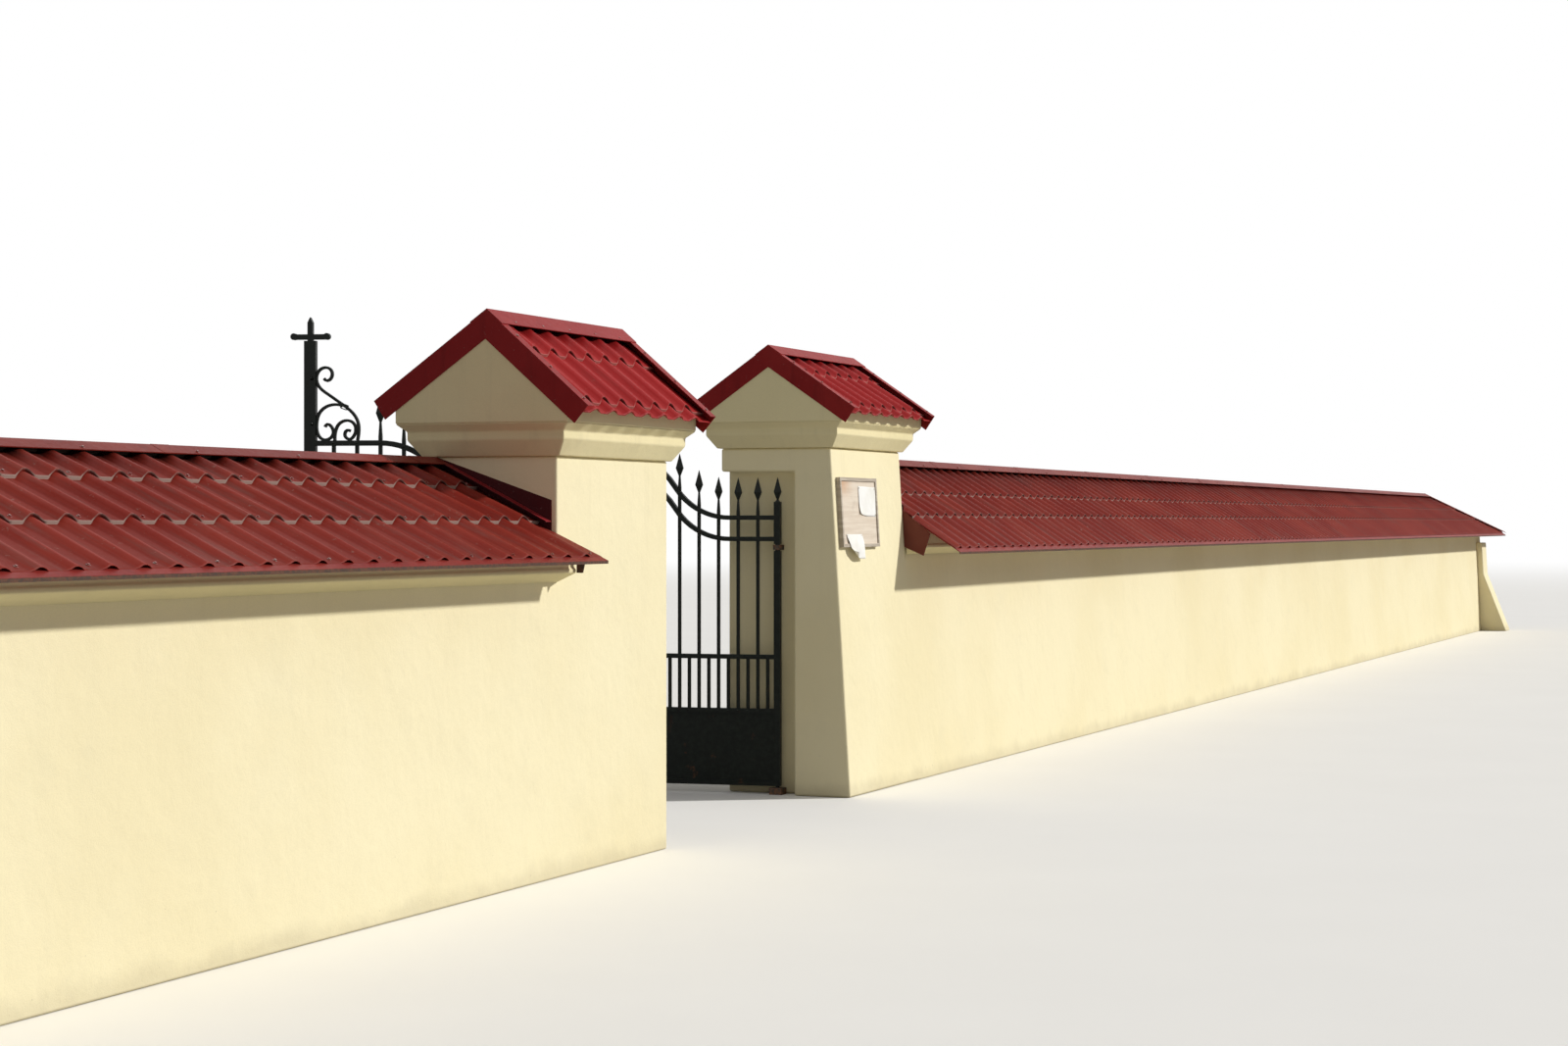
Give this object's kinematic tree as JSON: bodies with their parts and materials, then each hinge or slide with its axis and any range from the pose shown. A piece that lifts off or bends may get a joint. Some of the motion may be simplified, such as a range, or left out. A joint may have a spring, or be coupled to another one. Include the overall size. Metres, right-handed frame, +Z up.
{
  "type": "masonry yard wall with a two-leaf wrought-iron gate",
  "caption": "Rendered masonry wall with metal tile roofs and an inward-opening two-leaf wrought-iron gate between roofed piers.",
  "frame": {"origin": "centre of the left gate pier's foot, on the ground", "axes": "+X along the wall towards the long right-hand stretch, +Y in through the gateway, +Z up"},
  "size_m": [36.1901, 2.2575, 2.6673],
  "materials": {
    "board_wood": "weathered pale wood",
    "gate_iron": "dark green-black paint on wrought iron",
    "hinge_iron": "bare worn iron",
    "paper": "matte white paper",
    "pier_tile_sheet": "coated steel tile sheet, satin",
    "plaster": "painted lime render, matte",
    "trim_sheet": "bent coated sheet, satin",
    "wall_tile_sheet": "coated steel tile sheet, weathered"
  },
  "bodies": {
    "masonry": {"left_gate_hinges": "hinge_iron", "left_pier": "plaster", "left_pier_cornice": "plaster", "left_pier_gable": "plaster", "left_pier_ridge_cap": "pier_tile_sheet", "left_pier_roof_back": "pier_tile_sheet", "left_pier_roof_front": "pier_tile_sheet", "left_pier_verges": "trim_sheet", "left_wall": "plaster", "left_wall_cornice": "plaster", "left_wall_eave_trim": "trim_sheet", "left_wall_flashing": "trim_sheet", "left_wall_ridge_cap": "wall_tile_sheet", "left_wall_roof_back": "wall_tile_sheet", "left_wall_roof_front": "wall_tile_sheet", "notice_board": "board_wood", "notice_sheets": "paper", "right_gate_hinges": "hinge_iron", "right_pier": "plaster", "right_pier_cornice": "plaster", "right_pier_gable": "plaster", "right_pier_ridge_cap": "pier_tile_sheet", "right_pier_roof_back": "pier_tile_sheet", "right_pier_roof_front": "pier_tile_sheet", "right_pier_verges": "trim_sheet", "right_wall": "plaster", "right_wall_buttress": "plaster", "right_wall_cornice": "plaster", "right_wall_eave_trim": "trim_sheet", "right_wall_flashing": "trim_sheet", "right_wall_ridge_cap": "wall_tile_sheet", "right_wall_roof_back": "wall_tile_sheet", "right_wall_roof_front": "wall_tile_sheet", "right_wall_roof_hip": "wall_tile_sheet", "right_wall_verge": "trim_sheet"},
    "left_leaf": {"left_leaf_bars": "gate_iron", "left_leaf_cross": "gate_iron", "left_leaf_frame": "gate_iron", "left_leaf_panel": "gate_iron", "left_leaf_scrolls": "gate_iron"},
    "right_leaf": {"right_leaf_bars": "gate_iron", "right_leaf_frame": "gate_iron", "right_leaf_panel": "gate_iron", "right_leaf_scrolls": "gate_iron"}
  },
  "joints": [
    {"name": "left_leaf_hinge", "type": "hinge", "parent": "masonry", "child": "left_leaf", "pos_m": [0.55, 0.18, 0.8], "axis": [0, 0, 1], "range_deg": [-104, 0]},
    {"name": "right_leaf_hinge", "type": "hinge", "parent": "masonry", "child": "right_leaf", "pos_m": [3.3, 0.18, 0.8], "axis": [0, 0, -1], "range_deg": [-83, 13]}
  ]
}
